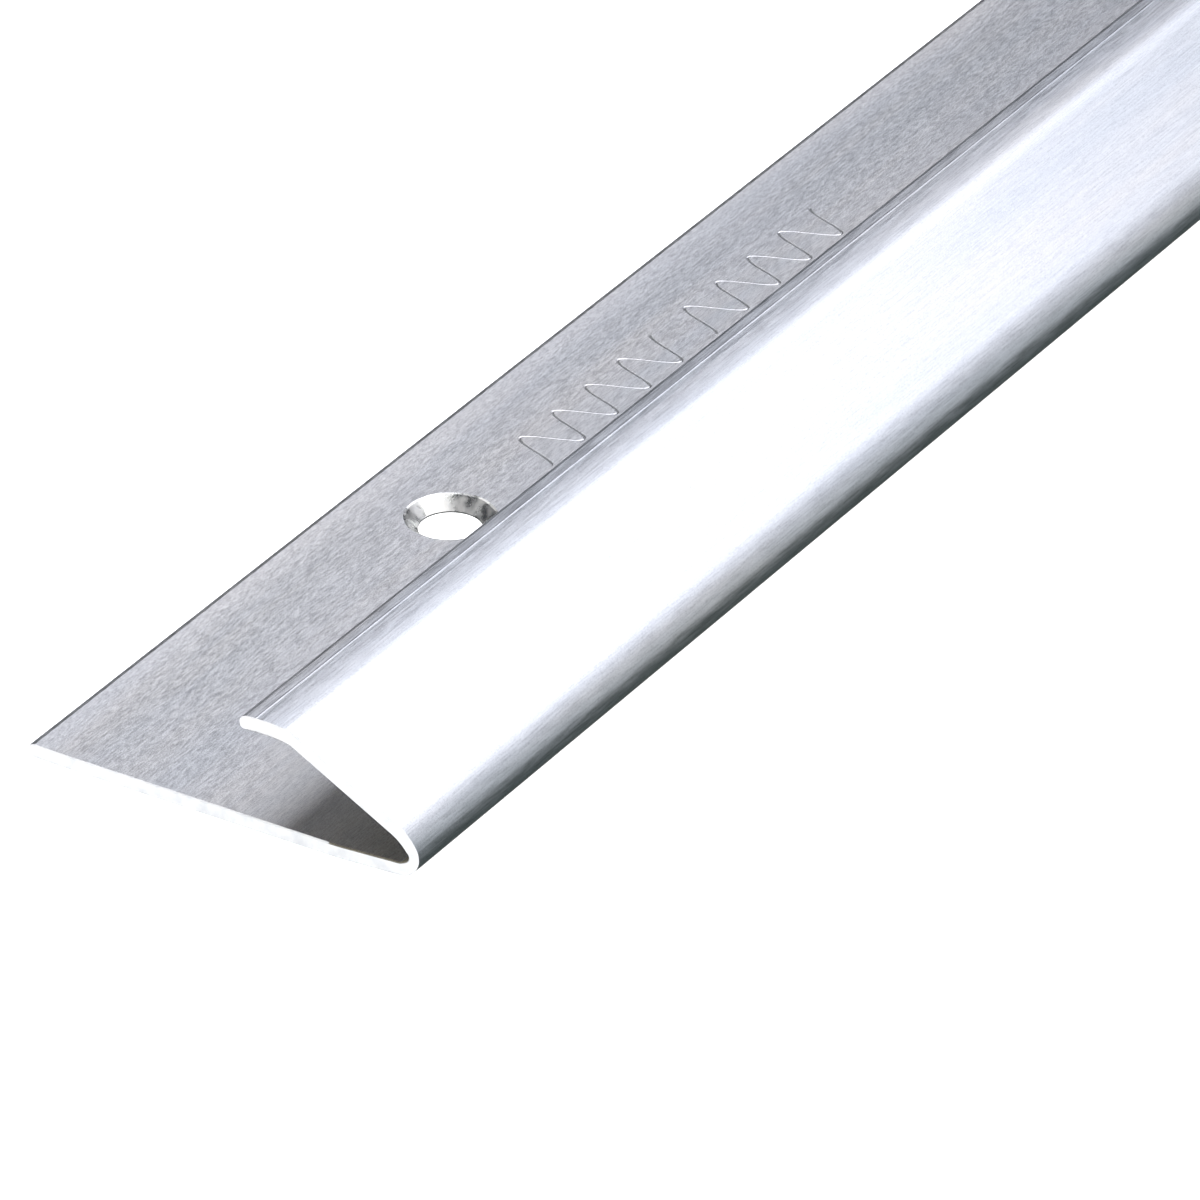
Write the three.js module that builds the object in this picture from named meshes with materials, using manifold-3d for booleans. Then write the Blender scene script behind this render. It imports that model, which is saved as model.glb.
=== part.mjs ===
// Threshold strip for the edge of a carpet: one roll-formed strip of stainless sheet.
//
// The sheet lies flat as a fixing flange with countersunk screw holes. It folds back over itself in
// a tight hem along the strip's front, and climbs as a cover leaf that ends in a nearly level lip.
// The carpet's edge goes into the channel between the flange and the leaf.
//
// The part's frame: X runs along the strip, Y across it from the hem to the flange's free edge, and
// Z up. The origin is on the floor, in the middle of the strip's length and width.

import * as THREE from "three";
import { mergeVertices } from "three/addons/utils/BufferGeometryUtils.js";
import Module from "manifold-3d";

// ---- Driving dimensions, in millimetres and degrees ----

const LENGTH = 900; // one doorway
const WIDTH = 30; // hem to the flange's free edge
const HEIGHT = 8.5; // floor to the top of the lip
const SHEET = 1; // thickness of the sheet

// The hem: a tight bend up from the floor, then a wider shoulder into the leaf.
const HEM_INSIDE_RADIUS = 0.55;
const HEM_THINNING = 0.23; // how much thinner the sheet is at the hem's apex
const SHOULDER_START = 62; // slope at which the shoulder takes over from the hem's bend
const SHOULDER_INSIDE_RADIUS = 2.75;

// Just behind the hem the flange lifts off the floor a little.
const LIFT_ANGLE = 3.2;
const LIFT_LENGTH = 4.2;
const LIFT_INSIDE_RADIUS = 19;

// The leaf, and the lip that its free edge ends in.
const LEAF_ANGLE = 28.6;
const LIP_INSIDE_RADIUS = 2.1;
const LIP_DROOP = 2.5; // how far the lip points down from level
const LIP_LENGTH = 3; // past its bend

const LIP_EDGE_RADIUS = 0.3;
const FLANGE_EDGE_RADIUS = 0.16;

// The screw holes, evenly spaced between the two end ones.
const HOLE_COUNT = 5;
const HOLE_END_DISTANCE = 39.2; // strip's end to the first hole
const HOLE_EDGE_DISTANCE = 7.5; // flange's free edge to the line of holes
const HOLE_DIAMETER = 4.4;
const SINK_DIAMETER = 6.2; // at the flange's top face
const SINK_ANGLE = 90; // of the whole cone

// How finely curves are divided.
const BEND_STEP = 7; // degrees of turn
const EDGE_STEPS = 3; // in the quarter turn at a sheet edge's corner
const HOLE_SIDES = 40;

const CUT_CLEARANCE = 1; // how far a cutter runs past the sheet

// ---- The section ----

const rad = THREE.MathUtils.degToRad;
const towards = (degrees) => new THREE.Vector2(Math.cos(rad(degrees)), Math.sin(rad(degrees)));

// The sheet's thickness where its outer skin slopes by this heading. It is thinnest at the hem's
// apex, where the skin is upright, and whole again where the leaf begins.
function sheetAt(heading) {
  const share = Math.min(1, Math.abs(heading - 90) / (90 - LEAF_ANGLE));
  return SHEET - HEM_THINNING * Math.cos((share * Math.PI) / 2) ** 2;
}

// A skin is a list of { at, heading } along the outside of the sheet, whose body lies to its right.
// Every bend turns to the right, around a centre on the inside.
function bend(skin, insideRadius, angle) {
  const { at, heading } = skin.at(-1);
  const radius = insideRadius + SHEET;
  const centre = at.clone().addScaledVector(towards(heading - 90), radius);
  const steps = Math.ceil(angle / BEND_STEP);
  for (let i = 1; i <= steps; i++) {
    const turned = heading - (angle * i) / steps;
    skin.push({ at: centre.clone().addScaledVector(towards(turned + 90), radius), heading: turned });
  }
}

function straight(skin, length) {
  const { at, heading } = skin.at(-1);
  skin.push({ at: at.clone().addScaledVector(towards(heading), length), heading });
}

// How far across the strip the underside stays on the floor, from the hem's apex.
function liftStart() {
  const slope = Math.sin(rad(LIFT_ANGLE));
  const hem = (HEM_INSIDE_RADIUS + SHEET) * (1 - slope);
  const lift = (LIFT_INSIDE_RADIUS + SHEET) * slope;
  return hem + LIFT_LENGTH * Math.cos(rad(LIFT_ANGLE)) + lift;
}

// The outside of the sheet, from the flange's free edge under the strip to the hem, and over the
// leaf to the lip's free edge. The hem's apex is at 0 across the strip.
function outerSkin() {
  const skin = [{ at: new THREE.Vector2(WIDTH, 0), heading: 180 }];
  straight(skin, WIDTH - liftStart());
  bend(skin, LIFT_INSIDE_RADIUS, LIFT_ANGLE);
  straight(skin, LIFT_LENGTH);
  bend(skin, HEM_INSIDE_RADIUS, 90 - LIFT_ANGLE);
  bend(skin, HEM_INSIDE_RADIUS, 90 - SHOULDER_START);
  bend(skin, SHOULDER_INSIDE_RADIUS, SHOULDER_START - LEAF_ANGLE);
  const crest = (LIP_INSIDE_RADIUS + SHEET) * (1 - Math.cos(rad(LEAF_ANGLE)));
  straight(skin, (HEIGHT - crest - skin.at(-1).at.y) / Math.sin(rad(LEAF_ANGLE)));
  bend(skin, LIP_INSIDE_RADIUS, LEAF_ANGLE);
  bend(skin, LIP_INSIDE_RADIUS, LIP_DROOP);
  straight(skin, LIP_LENGTH);
  return skin;
}

// The point under a point of the skin, square through the sheet.
function under({ at, heading }) {
  return at.clone().addScaledVector(towards(heading - 90), sheetAt(heading));
}

// A square sheet edge with its corners rounded, walked from one corner to the other. `outward`
// points out of the sheet.
function sheetEdge(from, to, outward, radius) {
  const across = to.clone().sub(from).normalize();
  const rounded = (corner, side, i) => {
    const turn = ((i / EDGE_STEPS) * Math.PI) / 2;
    return corner
      .clone()
      .addScaledVector(outward, radius * (Math.cos(turn) - 1))
      .addScaledVector(across, side * radius * (Math.sin(turn) - 1));
  };
  const steps = Array.from({ length: EDGE_STEPS + 1 }, (_, i) => i);
  return [
    ...steps.map((i) => rounded(from, -1, EDGE_STEPS - i)),
    ...steps.map((i) => rounded(to, 1, i)),
  ];
}

// The whole outline: outside, lip edge, inside, flange edge.
function sectionShape() {
  const skin = outerSkin();
  const outside = skin.map((point) => point.at);
  const inside = skin.map(under).reverse();
  const lipOutward = towards(skin.at(-1).heading);
  const flangeOutward = towards(0);
  return new THREE.Shape([
    ...outside.slice(1, -1),
    ...sheetEdge(outside.at(-1), inside[0], lipOutward, LIP_EDGE_RADIUS),
    ...inside.slice(1, -1),
    ...sheetEdge(inside.at(-1), outside[0], flangeOutward, FLANGE_EDGE_RADIUS),
  ]);
}

// ---- Solids ----

const wasm = await Module();
wasm.setup();

function toSolid(geometry) {
  const bare = geometry.clone();
  bare.deleteAttribute("normal");
  bare.deleteAttribute("uv");
  const merged = mergeVertices(bare);
  return new wasm.Manifold(
    new wasm.Mesh({
      numProp: 3,
      vertProperties: merged.attributes.position.array,
      triVerts: new Uint32Array(merged.index.array),
    }),
  );
}

function toGeometry(solid) {
  const mesh = solid.getMesh();
  const geometry = new THREE.BufferGeometry();
  geometry.setAttribute("position", new THREE.BufferAttribute(mesh.vertProperties, 3));
  geometry.setIndex(new THREE.BufferAttribute(mesh.triVerts, 1));
  const faceted = geometry.toNonIndexed();
  faceted.computeVertexNormals();
  return faceted;
}

// The section's own x lies across the strip and its y points up.
function stripSolid() {
  const geometry = new THREE.ExtrudeGeometry(sectionShape(), { depth: LENGTH, bevelEnabled: false });
  const across = new THREE.Vector3(0, 1, 0);
  const up = new THREE.Vector3(0, 0, 1);
  const along = new THREE.Vector3(1, 0, 0);
  geometry.applyMatrix4(new THREE.Matrix4().makeBasis(across, up, along));
  geometry.translate(-LENGTH / 2, -WIDTH / 2, 0);
  return toSolid(geometry);
}

// What a drill and its countersink take away, turned about the hole's axis.
function holeCutter() {
  const holeRadius = HOLE_DIAMETER / 2;
  const sinkRadius = SINK_DIAMETER / 2;
  const flare = Math.tan(rad(SINK_ANGLE / 2));
  const sinkDepth = (sinkRadius - holeRadius) / flare;
  const profile = [
    new THREE.Vector2(0, -CUT_CLEARANCE),
    new THREE.Vector2(holeRadius, -CUT_CLEARANCE),
    new THREE.Vector2(holeRadius, SHEET - sinkDepth),
    new THREE.Vector2(sinkRadius + CUT_CLEARANCE * flare, SHEET + CUT_CLEARANCE),
    new THREE.Vector2(0, SHEET + CUT_CLEARANCE),
  ];
  return new THREE.LatheGeometry(profile, HOLE_SIDES).rotateX(Math.PI / 2);
}

function drilledStrip() {
  const first = -LENGTH / 2 + HOLE_END_DISTANCE;
  const pitch = (LENGTH - 2 * HOLE_END_DISTANCE) / (HOLE_COUNT - 1);
  const line = WIDTH / 2 - HOLE_EDGE_DISTANCE;
  let strip = stripSolid();
  for (let i = 0; i < HOLE_COUNT; i++) {
    strip = strip.subtract(toSolid(holeCutter().translate(first + pitch * i, line, 0)));
  }
  return strip;
}

// ---- The part ----

const brushedSteel = new THREE.MeshStandardMaterial({
  color: new THREE.Color(0.74, 0.75, 0.78),
  roughness: 0.34,
  metalness: 1,
});

const group = new THREE.Group();
group.name = "threshold_strip";
const strip = new THREE.Mesh(toGeometry(drilledStrip()), brushedSteel);
strip.name = "edge_strip";
group.add(strip);

export default group;
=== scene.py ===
"""Looks of a carpet threshold strip: brushed stainless sheet on a plain white studio floor."""

import math

import bmesh
import bpy
from mathutils import Matrix, Vector


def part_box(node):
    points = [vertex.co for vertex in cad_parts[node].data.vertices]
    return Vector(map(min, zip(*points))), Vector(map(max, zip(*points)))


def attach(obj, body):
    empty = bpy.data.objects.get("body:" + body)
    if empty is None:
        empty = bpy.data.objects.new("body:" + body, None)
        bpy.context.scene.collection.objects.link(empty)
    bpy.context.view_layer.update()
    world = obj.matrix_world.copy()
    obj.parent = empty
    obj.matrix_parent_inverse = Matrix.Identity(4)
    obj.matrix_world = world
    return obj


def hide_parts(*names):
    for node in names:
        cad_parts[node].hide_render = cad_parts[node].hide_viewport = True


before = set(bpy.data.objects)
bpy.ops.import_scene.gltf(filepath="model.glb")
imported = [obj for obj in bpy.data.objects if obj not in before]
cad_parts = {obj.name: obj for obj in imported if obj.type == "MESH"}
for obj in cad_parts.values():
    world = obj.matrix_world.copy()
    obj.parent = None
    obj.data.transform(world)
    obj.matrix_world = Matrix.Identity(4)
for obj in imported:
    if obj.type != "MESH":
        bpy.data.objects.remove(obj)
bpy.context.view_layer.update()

MM = 0.001
NODE = "edge_strip"

# ---- The strip's section, in millimetres and degrees, as the CAD part has it ----

SHEET = 1.0
HEM_INSIDE_RADIUS = 0.55
HEM_THINNING = 0.23
SHOULDER_START = 62.0
SHOULDER_INSIDE_RADIUS = 2.75
LIFT_ANGLE = 3.2
LIFT_LENGTH = 4.2
LIFT_INSIDE_RADIUS = 19.0
LEAF_ANGLE = 28.6
LIP_INSIDE_RADIUS = 2.1
LIP_EDGE_RADIUS = 0.3
FLANGE_EDGE_RADIUS = 0.16

HOLE_COUNT = 5
HOLE_END_DISTANCE = 39.2
HOLE_EDGE_DISTANCE = 7.5
HOLE_DIAMETER = 4.4
SINK_DIAMETER = 6.2

# Finer shape than the CAD part has.
BEND_STEP = 2.5  # degrees of turn between points
CROWN_STEP = 0.4
EDGE_STEPS = 8  # in the quarter turn at a sheet edge's corner
LEAF_HEADING = 120.0  # the skin's heading is under this on the hem's front, the leaf and the lip
PAINTED_SHADE_HEADING = 150.0  # and under this on the sheet's inside, which gets painted shade: darker, browner steel for the fold's shade
PAINTED_SHADE_WIDTH = 13.0  # how far across the strip the flange's sawn ends get painted shade, for the leaf's shade on them
GUARD = 0.04  # the short run at each end of a flat, which keeps its shading flat
END_CHAMFER = 0.09  # at the sawn ends
UPTURN_WIDTH = 3.0  # the flange's free edge turns up a little over this width
UPTURN_LIFT = 0.08
UPTURN_PIECES = 12
FLANGE_SHEARED_WIDTH = 0.5  # the upper corner of each of the sheet's edges slopes off
LIP_SHEARED_WIDTH = 0.54
SHEARED_ANGLE = 20.0
LIP_CROWN_START = 6.0  # the lip comes out of its bend still rising, and turns slowly over
LIP_CROWN_END = -4.0
LIP_CROWN_LENGTH = 2.3
LIP_STRAIGHT = 0.65  # from the crown to the lip's edge
ROLL_MARKS = ((0.6, 3.0), (0.75, 4.0), (0.4, 13.0))  # the run before each fine ridge, and its slope
ROLL_MARK_SIDE = 0.08

low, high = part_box(NODE)
LENGTH = (high[0] - low[0]) / MM
WIDTH = (high[1] - low[1]) / MM
HEIGHT = (high[2] - low[2]) / MM


def towards(degrees):
    return Vector((math.cos(math.radians(degrees)), math.sin(math.radians(degrees))))


def sheet_at(heading):
    """The sheet's thickness, which is least at the hem's apex."""
    share = min(1.0, abs(heading - 90) / (90 - LEAF_ANGLE))
    return SHEET - HEM_THINNING * math.cos(share * math.pi / 2) ** 2


def bend(skin, inside_radius, angle):
    """Turns a skin to the right. A skin is the sheet's outside, a list of (point, heading)."""
    at, heading = skin[-1]
    radius = inside_radius + SHEET
    centre = at + towards(heading - 90) * radius
    steps = math.ceil(angle / BEND_STEP)
    for i in range(1, steps + 1):
        turned = heading - angle * i / steps
        skin.append((centre + towards(turned + 90) * radius, turned))


def straight(skin, length, first=GUARD, last=GUARD, pieces=1):
    """A flat run, in pieces between a short first one and a short last one."""
    at, heading = skin[-1]
    inner = [first + (length - last - first) * i / pieces for i in range(pieces + 1)]
    for run in (*inner, length):
        skin.append((at + towards(heading) * run, heading))


def crown(skin, length, angle):
    """A run that turns slowly to the right."""
    steps = math.ceil(angle / CROWN_STEP)
    for _ in range(steps):
        at, heading = skin[-1]
        turned = heading - angle / steps
        skin.append((at + towards((heading + turned) / 2) * (length / steps), turned))


def slant(skin, angle, length):
    """A short run at an angle to the skin, which then goes on as before."""
    at, heading = skin[-1]
    skin.append((at + towards(heading + angle) * length, heading))


def lip(start):
    """The skin from the leaf's top to the lip's edge."""
    skin = [start]
    bend(skin, LIP_INSIDE_RADIUS, LEAF_ANGLE - LIP_CROWN_START)
    turn = LIP_CROWN_START - LIP_CROWN_END
    for run, rise in ROLL_MARKS:
        crown(skin, run, turn * run / LIP_CROWN_LENGTH)
        slant(skin, rise, ROLL_MARK_SIDE)
        slant(skin, -rise, ROLL_MARK_SIDE)
    rest = LIP_CROWN_LENGTH - sum(run for run, _ in ROLL_MARKS)
    crown(skin, rest, turn * rest / LIP_CROWN_LENGTH)
    straight(skin, LIP_STRAIGHT, last=LIP_SHEARED_WIDTH)
    return skin


def outer_skin():
    """The sheet's outside, from the flange's free edge under the flange and round the hem."""
    slope = math.sin(math.radians(LIFT_ANGLE))
    hem = (HEM_INSIDE_RADIUS + SHEET) * (1 - slope)
    lift = (LIFT_INSIDE_RADIUS + SHEET) * slope
    lift_start = hem + LIFT_LENGTH * math.cos(math.radians(LIFT_ANGLE)) + lift
    skin = [(Vector((WIDTH, 0)), 180.0)]
    straight(skin, UPTURN_WIDTH, first=FLANGE_SHEARED_WIDTH, pieces=UPTURN_PIECES)
    straight(skin, WIDTH - UPTURN_WIDTH - lift_start)
    bend(skin, LIFT_INSIDE_RADIUS, LIFT_ANGLE)
    straight(skin, LIFT_LENGTH)
    bend(skin, HEM_INSIDE_RADIUS, 90 - LIFT_ANGLE)
    bend(skin, HEM_INSIDE_RADIUS, 90 - SHOULDER_START)
    bend(skin, SHOULDER_INSIDE_RADIUS, SHOULDER_START - LEAF_ANGLE)
    rise = max(at.y for at, _ in lip((Vector((0, 0)), LEAF_ANGLE)))
    straight(skin, (HEIGHT - rise - skin[-1][0].y) / math.sin(math.radians(LEAF_ANGLE)))
    return skin + lip(skin[-1])[1:]


def sheet_edge(start, end, outward, radius):
    """The sheet's cut edge from one skin to the other, with rounded corners."""
    across = (end - start).normalized()
    points = []
    for corner, side in ((start, -1), (end, 1)):
        for i in range(EDGE_STEPS + 1):
            turn = (EDGE_STEPS - i if side < 0 else i) / EDGE_STEPS * math.pi / 2
            points.append(
                corner
                + outward * radius * (math.cos(turn) - 1)
                + across * side * radius * (math.sin(turn) - 1)
            )
    return points


def upturned(point):
    """The flange's free edge stands a hair off the floor."""
    past = max(0.0, point.x - (WIDTH - UPTURN_WIDTH)) / UPTURN_WIDTH
    return Vector((point.x, point.y + UPTURN_LIFT * past**2))


def sheared(point, corner, outward, up, width):
    """The upper skin slopes off towards its corner at the sheet's edge."""
    back = corner - point
    reach = width - back.dot(outward)
    if reach <= 0 or abs(back.dot(up)) > SHEET / 2:
        return point
    return point - up * reach * math.tan(math.radians(SHEARED_ANGLE))


def section():
    """The closed outline, with the hem's apex at 0 across the strip, and which finish follows
    each of its points where that is not the plain one. On the sheet's inside in the fold that is painted
    shade."""
    skin = outer_skin()
    outside = [at for at, _ in skin]
    inside = [at + towards(heading - 90) * sheet_at(heading) for at, heading in reversed(skin)]
    lip_corner, lip_heading = skin[-1]
    lip_outward, lip_up = towards(lip_heading), towards(lip_heading + 90)
    flange_outward, flange_up = towards(0), towards(90)
    outline = (
        outside[1:-1]
        + sheet_edge(outside[-1], inside[0], lip_outward, LIP_EDGE_RADIUS)
        + inside[1:-1]
        + sheet_edge(inside[-1], outside[0], flange_outward, FLANGE_EDGE_RADIUS)
    )
    moved = []
    for point in outline:
        point = sheared(point, inside[-1], flange_outward, flange_up, FLANGE_SHEARED_WIDTH)
        point = sheared(point, lip_corner, lip_outward, lip_up, LIP_SHEARED_WIDTH)
        moved.append(upturned(point))
    inner_count = len(skin) - 2
    last_inside = inner_count + 2 * (EDGE_STEPS + 1) + inner_count - 1
    finishes_and_shade = {}
    # The hem's front, the leaf and the lip take the leaf's finish. The sheet's inside in the fold takes
    # painted shade.
    for i, (_, heading) in enumerate(skin[1:-1]):
        if heading < LEAF_HEADING:
            finishes_and_shade[i] = LEAF
        if heading < PAINTED_SHADE_HEADING:
            finishes_and_shade[last_inside - i] = PAINTED_SHADE
    return moved, finishes_and_shade


def inset(outline, distance):
    """The outline moved inwards, which is to its right."""
    count = len(outline)
    moved = []
    for i, point in enumerate(outline):
        run = (outline[(i + 1) % count] - outline[i - 1]).normalized()
        moved.append(point + Vector((run.y, -run.x)) * distance)
    return moved


def place(x, point):
    """A section point at x along the strip, from its near end, in metres."""
    return Vector((low[0] + x * MM, low[1] + point.x * MM, low[2] + point.y * MM))


# ---- Meshes ----

# The third slot is painted shade for the fold's inside.
STEEL, LEAF, PAINTED_SHADE, SAWN, TURNED, STAMPED = range(6)


def new_object(name, bm):
    mesh = bpy.data.meshes.new(name)
    bm.to_mesh(mesh)
    bm.free()
    obj = bpy.data.objects.new(name, mesh)
    bpy.context.scene.collection.objects.link(obj)
    return obj


def swept_strip():
    outline, finishes_and_shade = section()
    flange_top = range(max(finishes_and_shade), len(outline))
    ends = inset(outline, END_CHAMFER)
    stations = [
        (0.0, ends),
        (END_CHAMFER, outline),
        (LENGTH - END_CHAMFER, outline),
        (LENGTH, ends),
    ]
    bm = bmesh.new()
    rings = [[bm.verts.new(place(x, p)) for p in points] for x, points in stations]
    count = len(outline)
    for at, (near, far) in enumerate(zip(rings, rings[1:])):
        at_end = at != 1  # the second run is the whole strip but its chamfers
        for i in range(count):
            j = (i + 1) % count
            face = bm.faces.new((near[i], near[j], far[j], far[i]))
            finish = finishes_and_shade.get(i, STEEL)
            if at_end:
                # Painted shade on the sawn ends' chamfers: in the fold and on the flange's top under the
                # leaf they take the dark painted-shade steel, elsewhere the sawn finish.
                reach = max(outline[i].x, outline[j].x)
                dark = finish == PAINTED_SHADE or (i in flange_top and reach < PAINTED_SHADE_WIDTH)
                finish = PAINTED_SHADE if dark else SAWN
            face.material_index = finish
    for ring in (rings[0], rings[-1]):
        bm.faces.new(ring).material_index = SAWN
    bmesh.ops.recalc_face_normals(bm, faces=bm.faces)
    return new_object("strip_body", bm)


def tube(bm, rings, finish):
    """A closed skin over rings of vertices."""
    sides = len(rings[0])
    for a, b in zip(rings, rings[1:]):
        for k in range(sides):
            j = (k + 1) % sides
            bm.faces.new((a[k], a[j], b[j], b[k])).material_index = finish
    for ring in (rings[0], rings[-1]):
        bm.faces.new(ring).material_index = finish


HOLE_SIDES = 144
CUT_CLEARANCE = 1.0  # how far a cutter reaches past the sheet
RIM_BREAK = 0.06  # how far down the countersink's rim is eased
RIM_WIDTH = 2 * RIM_BREAK  # how far out
RIM_RISE = 0.3 * RIM_BREAK  # and how far over the sheet that slope goes on
RIM_WOBBLE = 0.3  # the chatter's share that is left there
CHATTER = ((7, 0.4, 0.022), (11, 2.0, 0.018), (17, 1.1, 0.008))  # lobes, phase, size in mm


def revolved(bm, profile, centre):
    """A closed body of revolution about a vertical axis. The profile is (radius, z, wobble)."""
    rings = []
    for radius, z, wobble in profile:
        ring = []
        for k in range(HOLE_SIDES):
            turn = 2 * math.pi * k / HOLE_SIDES
            wave = sum(size * math.cos(lobes * turn + phase) for lobes, phase, size in CHATTER)
            r = (radius + wobble * wave) * MM
            ring.append(bm.verts.new(centre + Vector((r * math.cos(turn), r * math.sin(turn), z * MM))))
        rings.append(ring)
    tube(bm, rings, TURNED)


def hole_cutter():
    hole, sink = HOLE_DIAMETER / 2, SINK_DIAMETER / 2
    depth = sink - hole
    profile = (
        (hole, -CUT_CLEARANCE, 0.0),
        (hole, SHEET - depth, 0.0),
        (sink - RIM_BREAK, SHEET - RIM_BREAK, 1.0),
        (sink + RIM_WIDTH, SHEET + RIM_RISE, RIM_WOBBLE),
        (sink + CUT_CLEARANCE, SHEET + CUT_CLEARANCE, 0.0),
    )
    bm = bmesh.new()
    pitch = (LENGTH - 2 * HOLE_END_DISTANCE) / (HOLE_COUNT - 1)
    for i in range(HOLE_COUNT):
        centre = place(HOLE_END_DISTANCE + pitch * i, Vector((WIDTH - HOLE_EDGE_DISTANCE, 0)))
        revolved(bm, profile, centre)
    bmesh.ops.recalc_face_normals(bm, faces=bm.faces)
    return new_object("hole_cutter", bm)


# Two plain wave lines pressed into the flange.
WAVE_STARTS = (48.5, 69.8)  # from the near end
WAVE_COUNT = 4.5
WAVE_PITCH = 4.2
WAVE_HEIGHT = 3.8  # from trough to peak
WAVE_ACROSS = 22.3  # from the hem to a wave's middle
WAVE_STEPS = 160
GROOVE_RADIUS = 0.22
GROOVE_DEPTH = 0.03
GROOVE_SIDES = 16


def wave_path(start):
    """Points along a wave and across it, which starts in a trough."""
    path = []
    for i in range(WAVE_STEPS + 1):
        run = WAVE_COUNT * i / WAVE_STEPS
        path.append(Vector((start + WAVE_PITCH * run, -WAVE_HEIGHT / 2 * math.cos(2 * math.pi * run))))
    return path


def wave_cutter():
    bm = bmesh.new()
    lift = Vector((0, 0, GROOVE_RADIUS - GROOVE_DEPTH)) * MM
    for start in WAVE_STARTS:
        path = wave_path(start)
        rings = []
        for i, at in enumerate(path):
            run = (path[min(i + 1, WAVE_STEPS)] - path[max(i - 1, 0)]).normalized()
            side = Vector((-run.y, run.x, 0))
            centre = place(at.x, Vector((WAVE_ACROSS + at.y, SHEET))) + lift
            ring = []
            for k in range(GROOVE_SIDES):
                turn = 2 * math.pi * k / GROOVE_SIDES
                arm = side * math.cos(turn) + Vector((0, 0, math.sin(turn)))
                ring.append(bm.verts.new(centre + arm * GROOVE_RADIUS * MM))
            rings.append(ring)
        tube(bm, rings, STAMPED)
    bmesh.ops.recalc_face_normals(bm, faces=bm.faces)
    return new_object("wave_cutter", bm)


def cut(body, cutter):
    """Cuts one closed body out of another. The cut faces keep the cutter's finish."""
    for material in MATERIALS:
        cutter.data.materials.append(material)
    modifier = body.modifiers.new("cut", "BOOLEAN")
    modifier.operation = "DIFFERENCE"
    modifier.solver = "EXACT"
    modifier.object = cutter
    bpy.context.view_layer.objects.active = body
    bpy.ops.object.modifier_apply(modifier=modifier.name)
    bpy.data.objects.remove(cutter)


# ---- Materials ----

# Tones to pick from, each with the noise value that it stands at.
PATCHES = ((0.35, (0.72, 0.735, 0.77)), (0.5, (0.755, 0.76, 0.785)), (0.65, (0.78, 0.775, 0.785)))
LEAF_PATCHES = ((0.35, (0.70, 0.725, 0.78)), (0.5, (0.735, 0.75, 0.795)), (0.65, (0.77, 0.77, 0.795)))
# Painted shade: darker, browner tones for the sheet's inside in the fold, in place of the shade that
# falls there.
PAINTED_SHADE_PATCHES = ((0.35, (0.38, 0.35, 0.28)), (0.65, (0.48, 0.44, 0.36)))
SAWN_TONES = ((0.3, (0.48, 0.495, 0.52)), (0.5, (0.56, 0.57, 0.58)), (0.7, (0.60, 0.60, 0.60)))
TURNED_TONES = ((0.3, (0.66, 0.68, 0.66)), (0.5, (0.85, 0.85, 0.84)), (0.7, (0.93, 0.92, 0.90)))
# The same for the grain, whose tones multiply the patches'.
GRAIN = ((0.36, (0.73, 0.73, 0.74)), (0.5, (0.95, 0.95, 0.95)), (0.64, (1.14, 1.14, 1.13)))
LEAF_GRAIN = ((0.36, (0.72, 0.72, 0.73)), (0.5, (0.96, 0.96, 0.96)), (0.64, (1.15, 1.15, 1.14)))
LINE_SHARE = 0.48  # of the grain, and the rest is sparkle

# Noises: features per metre along the strip, the same across it, and detail.
PATCH_NOISE = (20, 330, 3.0)
LINE_NOISE = (1500, 9500, 2.0)
LEAF_LINE_NOISE = (400, 9500, 2.0)
SPARKLE_NOISE = (9500, 11000, 2.0)
WAVY_NOISE = (9, 70, 2.0)
SCORED_NOISE = (30, 2600, 1.0)
SAWN_NOISE = (2500, 900, 4.0)
TURNED_NOISE = (1500, 1500, 3.0)
NOISE_ROUGHNESS = 0.55
NOISE_SPAN = (0.35, 0.65)  # where most of a noise's values lie
SAWN_NOISE_SPAN = (0.3, 0.7)

# Relief, in metres.
WAVY_HEIGHT = 0.00003
SCORED_HEIGHT = 0.000004
LINE_HEIGHT = 0.000001
SAWN_HEIGHT = 0.000006
TURNED_HEIGHT = 0.00002

ANISOTROPY = 0.8
BRUSHED_ROUGHNESS = (0.28, 0.38)
SAWN_ROUGHNESS = (0.45, 0.65)
TURNED_ROUGHNESS = (0.2, 0.42)
STAMPED_ROUGHNESS = 0.3
# The painted-shade steel in the fold is a little less metallic.
PAINTED_SHADE_METALLIC = 0.8
SAWN_METALLIC = 0.2

COLOUR_A, COLOUR_B, COLOUR_RESULT = 6, 7, 2  # a Mix node's sockets for colours


def new_material(name):
    material = bpy.data.materials.new(name)
    material.use_nodes = True
    tree = material.node_tree
    return material, tree, tree.nodes["Principled BSDF"]


def streaks(tree, noise):
    """Noise with one scale along the strip and another across it."""
    along, across, detail = noise
    coords = tree.nodes.new("ShaderNodeTexCoord")
    mapping = tree.nodes.new("ShaderNodeMapping")
    mapping.inputs["Scale"].default_value = (along, across, across)
    texture = tree.nodes.new("ShaderNodeTexNoise")
    texture.inputs["Scale"].default_value = 1.0
    texture.inputs["Detail"].default_value = detail
    texture.inputs["Roughness"].default_value = NOISE_ROUGHNESS
    tree.links.new(coords.outputs["Object"], mapping.inputs["Vector"])
    tree.links.new(mapping.outputs["Vector"], texture.inputs["Vector"])
    return texture.outputs["Fac"]


def spread(tree, value, source, target):
    """The value moved from one range to another."""
    node = tree.nodes.new("ShaderNodeMapRange")
    node.inputs["From Min"].default_value, node.inputs["From Max"].default_value = source
    node.inputs["To Min"].default_value, node.inputs["To Max"].default_value = target
    tree.links.new(value, node.inputs["Value"])
    return node.outputs["Result"]


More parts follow.
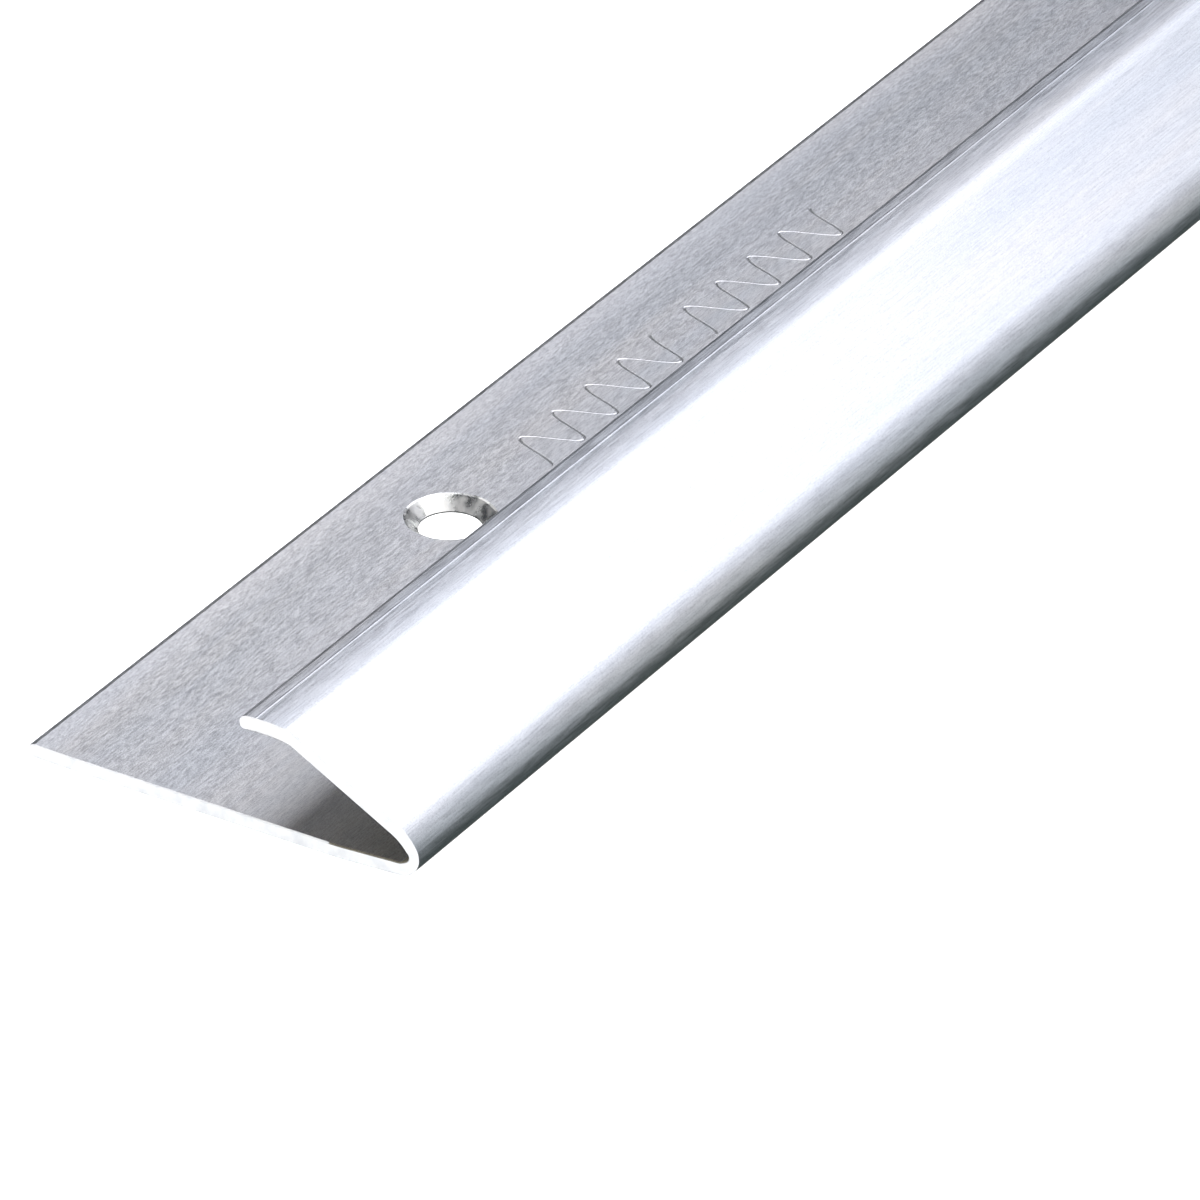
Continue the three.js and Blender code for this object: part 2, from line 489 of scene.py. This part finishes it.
def ramp(tree, value, stops):
    node = tree.nodes.new("ShaderNodeValToRGB")
    elements = node.color_ramp.elements
    while len(elements) < len(stops):
        elements.new(0.5)
    for element, (position, colour) in zip(elements, stops):
        element.position = position
        element.color = (*colour, 1.0)
    tree.links.new(value, node.inputs["Fac"])
    return node.outputs["Color"]


def bumped(tree, value, height, normal=None):
    node = tree.nodes.new("ShaderNodeBump")
    node.inputs["Strength"].default_value = 1.0
    node.inputs["Distance"].default_value = height
    tree.links.new(value, node.inputs["Height"])
    if normal:
        tree.links.new(normal, node.inputs["Normal"])
    return node.outputs["Normal"]


def weighted_sum(tree, parts):
    total = None
    for value, weight in parts:
        node = tree.nodes.new("ShaderNodeMath")
        node.operation = "MULTIPLY_ADD"
        node.inputs[1].default_value = weight
        tree.links.new(value, node.inputs[0])
        if total:
            tree.links.new(total, node.inputs[2])
        else:
            node.inputs[2].default_value = 0.0
        total = node.outputs[0]
    return total


def multiplied(tree, first, second):
    node = tree.nodes.new("ShaderNodeMix")
    node.data_type = "RGBA"
    node.blend_type = "MULTIPLY"
    node.inputs["Factor"].default_value = 1.0
    tree.links.new(first, node.inputs[COLOUR_A])
    tree.links.new(second, node.inputs[COLOUR_B])
    return node.outputs[COLOUR_RESULT]


def brushed_steel(name, patches=PATCHES, grain_tones=GRAIN, line_noise=LINE_NOISE):
    """Fine lines and sparkle over soft patches, with the highlight drawn out across the lines."""
    material, tree, shader = new_material(name)
    shader.inputs["Metallic"].default_value = 1.0
    shader.inputs["Anisotropic"].default_value = ANISOTROPY
    tangent = tree.nodes.new("ShaderNodeTangent")
    tangent.direction_type = "RADIAL"
    tangent.axis = "X"
    tree.links.new(tangent.outputs["Tangent"], shader.inputs["Tangent"])

    tone = ramp(tree, streaks(tree, PATCH_NOISE), patches)
    lines = streaks(tree, line_noise)
    sparkle = streaks(tree, SPARKLE_NOISE)
    grain = weighted_sum(tree, ((lines, LINE_SHARE), (sparkle, 1 - LINE_SHARE)))
    colour = multiplied(tree, tone, ramp(tree, grain, grain_tones))
    tree.links.new(colour, shader.inputs["Base Color"])
    roughness = spread(tree, lines, NOISE_SPAN, BRUSHED_ROUGHNESS)
    tree.links.new(roughness, shader.inputs["Roughness"])

    wavy = bumped(tree, streaks(tree, WAVY_NOISE), WAVY_HEIGHT)
    scored = bumped(tree, streaks(tree, SCORED_NOISE), SCORED_HEIGHT, wavy)
    fine = bumped(tree, lines, LINE_HEIGHT, scored)
    tree.links.new(fine, shader.inputs["Normal"])
    return material


def leaf_steel():
    return brushed_steel("leaf_steel", LEAF_PATCHES, LEAF_GRAIN, LEAF_LINE_NOISE)


# Painted shade: brushed steel in dark, brownish tones, for the fold's inside and for the sawn ends under
# the leaf.
def painted_shade_steel():
    material = brushed_steel("painted_shade_steel", PAINTED_SHADE_PATCHES)
    shader = material.node_tree.nodes["Principled BSDF"]
    shader.inputs["Metallic"].default_value = PAINTED_SHADE_METALLIC
    return material


def worked_steel(name, metallic, noise, tones, span, roughness, height):
    """Bare metal with a tool's marks."""
    material, tree, shader = new_material(name)
    shader.inputs["Metallic"].default_value = metallic
    marks = streaks(tree, noise)
    tree.links.new(ramp(tree, marks, tones), shader.inputs["Base Color"])
    tree.links.new(spread(tree, marks, span, roughness), shader.inputs["Roughness"])
    tree.links.new(bumped(tree, marks, height), shader.inputs["Normal"])
    return material


def sawn_steel():
    return worked_steel(
        "sawn_steel", SAWN_METALLIC, SAWN_NOISE, SAWN_TONES, SAWN_NOISE_SPAN, SAWN_ROUGHNESS, SAWN_HEIGHT
    )


def turned_steel():
    return worked_steel(
        "turned_steel", 1.0, TURNED_NOISE, TURNED_TONES, NOISE_SPAN, TURNED_ROUGHNESS, TURNED_HEIGHT
    )


def stamped_steel():
    material = brushed_steel("stamped_steel")
    tree = material.node_tree
    shader = tree.nodes["Principled BSDF"]
    tree.links.remove(shader.inputs["Roughness"].links[0])
    shader.inputs["Roughness"].default_value = STAMPED_ROUGHNESS
    shader.inputs["Anisotropic"].default_value = 0.0
    return material


# In the order of STEEL, LEAF, the fold's painted shade, SAWN, TURNED and STAMPED.
MATERIALS = [
    brushed_steel("brushed_steel"),
    leaf_steel(),
    painted_shade_steel(),
    sawn_steel(),
    turned_steel(),
    stamped_steel(),
]

# ---- The strip ----

SHARP_ANGLE = 16.0

strip = swept_strip()
for material in MATERIALS:
    strip.data.materials.append(material)
cut(strip, hole_cutter())
cut(strip, wave_cutter())
strip.data.shade_smooth()
strip.data.set_sharp_from_angle(angle=math.radians(SHARP_ANGLE))
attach(strip, "root")
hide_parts(NODE)

# ---- Camera ----

AZIMUTH, ELEVATION = -58.15, 30.5
AIM_ALONG, AIM_ACROSS = 35.08, 8.19  # the point looked at, on the flange's top face
DISTANCE = 0.7953
LENS, SENSOR_WIDTH = 361.35, 36.0  # in millimetres
CLIP_START, CLIP_END = 0.01, 100.0

a, e = math.radians(AZIMUTH), math.radians(ELEVATION)
back = Vector((math.sin(a) * math.cos(e), -math.cos(a) * math.cos(e), math.sin(e)))
camera = bpy.data.objects.new("camera", bpy.data.cameras.new("camera"))
bpy.context.scene.collection.objects.link(camera)
camera.data.lens = LENS
camera.data.sensor_width = SENSOR_WIDTH
camera.data.clip_start, camera.data.clip_end = CLIP_START, CLIP_END
camera.location = place(AIM_ALONG, Vector((AIM_ACROSS, SHEET))) + back * DISTANCE
camera.rotation_mode = "QUATERNION"
camera.rotation_quaternion = (-back).to_track_quat("-Z", "Y")
bpy.context.scene.camera = camera

# ---- Studio ----

near_end = Vector((low[0], (low[1] + high[1]) / 2, low[2]))


def polar(heading, elevation, distance):
    """A place seen from the near end. Heading turns from the strip's length towards the flange."""
    h, v = math.radians(heading), math.radians(elevation)
    return Vector((math.cos(h) * math.cos(v), math.sin(h) * math.cos(v), math.sin(v))) * distance


def soft_box(name, low_edge, high_edge, width, radiance, colour):
    """A rectangular light that faces the near end, from the middle of its low edge to the middle
    of its high one."""
    middle = (low_edge + high_edge) / 2
    up = (high_edge - low_edge).normalized()
    facing = (middle - (middle.dot(up)) * up).normalized()
    side = up.cross(facing)
    data = bpy.data.lights.new(name, "AREA")
    data.shape = "RECTANGLE"
    data.size, data.size_y = width, (high_edge - low_edge).length
    data.energy = radiance * math.pi * data.size * data.size_y
    data.color = colour
    light = bpy.data.objects.new(name, data)
    bpy.context.scene.collection.objects.link(light)
    light.rotation_mode = "QUATERNION"
    light.rotation_quaternion = Matrix((side, up, facing)).transposed().to_quaternion()
    light.location = near_end + middle
    light.visible_camera = False


LAVENDER, BLUE = (0.95, 0.96, 1.0), (0.89, 0.92, 1.0)
GREENISH, WHITE = (0.92, 1.0, 0.97), (1.0, 1.0, 1.0)
# Name, heading, each edge's elevation and distance, width, radiance, colour.
SOFT_BOXES = (
    ("overhead", -5, (39.5, 4.0), (80, 3.75), 3.6, 2.35, LAVENDER),
    ("horizon", -5, (36.6, 4.0), (39.5, 4.0), 3.6, 2.3, BLUE),
    ("side_high", -40, (17, 1.6), (37, 1.6), 1.0, 0.6, LAVENDER),
    ("side_low", -44, (2, 1.6), (17, 1.6), 1.0, 0.5, GREENISH),
    ("fill", 38, (20, 2.5), (50, 2.5), 1.6, 0.08, LAVENDER),
    ("rear", 86, (36, 2.0), (60, 2.0), 1.3, 1.4, WHITE),
    ("front", 165, (12, 1.2), (42, 1.2), 0.8, 2.0, WHITE),
    ("top", -106, (38, 2.2), (66, 2.2), 3.2, 1.8, WHITE),
)
for name, heading, low_edge, high_edge, width, radiance, colour in SOFT_BOXES:
    soft_box(name, polar(heading, *low_edge), polar(heading, *high_edge), width, radiance, colour)

SKY_COLOUR = (0.07, 0.072, 0.08)

world = bpy.data.worlds.new("studio")
bpy.context.scene.world = world
world.use_nodes = True
sky = world.node_tree.nodes["Background"]
sky.inputs["Color"].default_value = (*SKY_COLOUR, 1)
sky.inputs["Strength"].default_value = 1.0

STAGE_ROUGHNESS = 0.9
STAGE_SIDES = 96
FLOOR_COLOUR, FLOOR_GLOW = (0.9, 0.9, 0.9), 0.9
FLOOR_RADIUS, WALL_HEIGHT = 30.0, 30.0  # in metres, as the card's sizes are
CARD_COLOUR = (0.05, 0.068, 0.062)
CARD_RADIUS, CARD_DROP = 5.0, 0.0005


def stage_material(name, colour, glow):
    material, _, shader = new_material(name)
    shader.inputs["Base Color"].default_value = (*colour, 1)
    shader.inputs["Roughness"].default_value = STAGE_ROUGHNESS
    shader.inputs["Emission Color"].default_value = (1, 1, 1, 1)
    shader.inputs["Emission Strength"].default_value = glow
    return material


def stage_disc(name, radius, drop, wall):
    """A disc at a drop below the strip, with a wall round it unless that is 0."""
    bm = bmesh.new()
    base = Vector((0, 0, low[2] - drop))
    disc = [
        bm.verts.new(base + Vector((math.cos(t), math.sin(t), 0)) * radius)
        for t in (2 * math.pi * k / STAGE_SIDES for k in range(STAGE_SIDES))
    ]
    bm.faces.new(disc)
    if wall:
        top = [bm.verts.new(v.co + Vector((0, 0, wall))) for v in disc]
        for k in range(STAGE_SIDES):
            j = (k + 1) % STAGE_SIDES
            bm.faces.new((disc[k], disc[j], top[j], top[k]))
    return new_object(name, bm)


floor = stage_disc("floor", FLOOR_RADIUS, 0.0, WALL_HEIGHT)
floor.data.materials.append(stage_material("pale_floor", FLOOR_COLOUR, FLOOR_GLOW))
floor.visible_glossy = False

# What the polished undersides mirror: a dark card, which nothing but a reflection sees.
card = stage_disc("dark_card", CARD_RADIUS, CARD_DROP, 0.0)
card.data.materials.append(stage_material("dark_card", CARD_COLOUR, 0.0))
card.visible_camera = False
card.visible_diffuse = False
card.visible_shadow = False

bpy.context.scene.view_settings.view_transform = "Standard"
bpy.context.scene.view_settings.look = "None"
